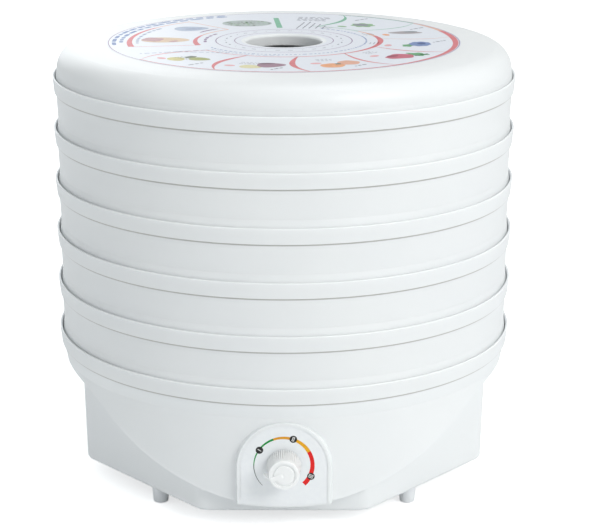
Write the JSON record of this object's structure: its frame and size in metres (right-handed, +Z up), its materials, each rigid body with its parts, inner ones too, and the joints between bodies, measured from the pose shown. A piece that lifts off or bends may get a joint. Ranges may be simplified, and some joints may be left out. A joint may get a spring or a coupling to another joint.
{
  "type": "food dehydrator",
  "caption": "Round stacking food dehydrator: vented lid, collared trays with ring-and-spoke floors, and a fan-heater base with a heat dial.",
  "frame": {"origin": "on the stack's axis at floor level, under the base", "axes": "+Z up along the stack; the front with the dial faces -Y; +X to the right seen from the front"},
  "size_m": [0.3904, 0.4216, 0.3684],
  "materials": {
    "white_plastic": "satin moulded",
    "printed_label": "printed film",
    "knob_plastic": "satin moulded",
    "rubber_foot": "matte",
    "steel": "zinc plated",
    "dark_plastic": "moulded",
    "circuit_board": "solder mask",
    "capacitor_case": "moulded",
    "motor_iron": "laminated",
    "bobbin_plastic": "moulded",
    "copper_wire": "enamelled",
    "bearing_bronze": "sintered",
    "mica": "pressed sheet",
    "heater_wire": "oxidised",
    "shield_steel": "rolled",
    "gland_plastic": "moulded",
    "terminal_plastic": "moulded",
    "lead_brown": "insulated",
    "lead_blue": "insulated"
  },
  "bodies": {
    "base": {"base_shell": "white_plastic", "deck_plate": "white_plastic", "air_grille": "white_plastic", "foot_front_left": "rubber_foot", "foot_front_right": "rubber_foot", "foot_rear_left": "rubber_foot", "foot_rear_right": "rubber_foot", "deck_screws": "steel", "grille_screws": "steel", "strap_screws": "steel", "foot_screws": "steel", "dial_label": "printed_label", "regulator_body": "dark_plastic", "regulator_nut": "steel", "control_board": "circuit_board", "capacitor": "capacitor_case", "triac": "dark_plastic", "motor_stator": "motor_iron", "motor_bobbin": "bobbin_plastic", "motor_winding": "copper_wire", "upper_bracket": "steel", "lower_bracket": "steel", "upper_bearing": "bearing_bronze", "lower_bearing": "bearing_bronze", "motor_screws": "steel", "motor_strap": "steel", "heater_frame": "mica", "heater_coil": "heater_wire", "heat_shield": "shield_steel", "thermal_fuse": "steel", "cord_gland": "gland_plastic", "gland_nut": "gland_plastic", "terminal_block": "terminal_plastic", "terminal_screws": "steel", "lead_to_board": "lead_brown", "lead_to_heater": "lead_blue", "lead_to_motor": "lead_brown"},
    "lid": {"lid": "white_plastic", "lid_label": "printed_label"},
    "tray_1": {"tray_1": "white_plastic"},
    "tray_2": {"tray_2": "white_plastic"},
    "tray_3": {"tray_3": "white_plastic"},
    "tray_4": {"tray_4": "white_plastic"},
    "tray_5": {"tray_5": "white_plastic"},
    "knob": {"dial_knob": "knob_plastic", "regulator_shaft": "steel"},
    "fan": {"motor_shaft": "steel", "motor_rotor": "motor_iron", "fan_impeller": "dark_plastic", "fan_nut": "bearing_bronze"}
  },
  "joints": [
    {"name": "tray_5_lift", "type": "slide", "parent": "base", "child": "tray_5", "axis": [0, 0, 1], "range_m": [0, 0.06]},
    {"name": "tray_4_lift", "type": "slide", "parent": "tray_5", "child": "tray_4", "axis": [0, 0, 1], "range_m": [0, 0.06]},
    {"name": "tray_3_lift", "type": "slide", "parent": "tray_4", "child": "tray_3", "axis": [0, 0, 1], "range_m": [0, 0.06]},
    {"name": "tray_2_lift", "type": "slide", "parent": "tray_3", "child": "tray_2", "axis": [0, 0, 1], "range_m": [0, 0.06]},
    {"name": "tray_1_lift", "type": "slide", "parent": "tray_2", "child": "tray_1", "axis": [0, 0, 1], "range_m": [0, 0.06]},
    {"name": "lid_lift", "type": "slide", "parent": "tray_1", "child": "lid", "axis": [0, 0, 1], "range_m": [0, 0.06]},
    {"name": "knob_turn", "type": "hinge", "parent": "base", "child": "knob", "pos_m": [0, -0.2, 0.061], "axis": [0, 1, 0], "range_deg": [-25, 245]},
    {"name": "fan_spin", "type": "hinge", "parent": "base", "child": "fan", "pos_m": [0, 0, 0.066], "axis": [0, 0, 1], "continuous": true}
  ]
}
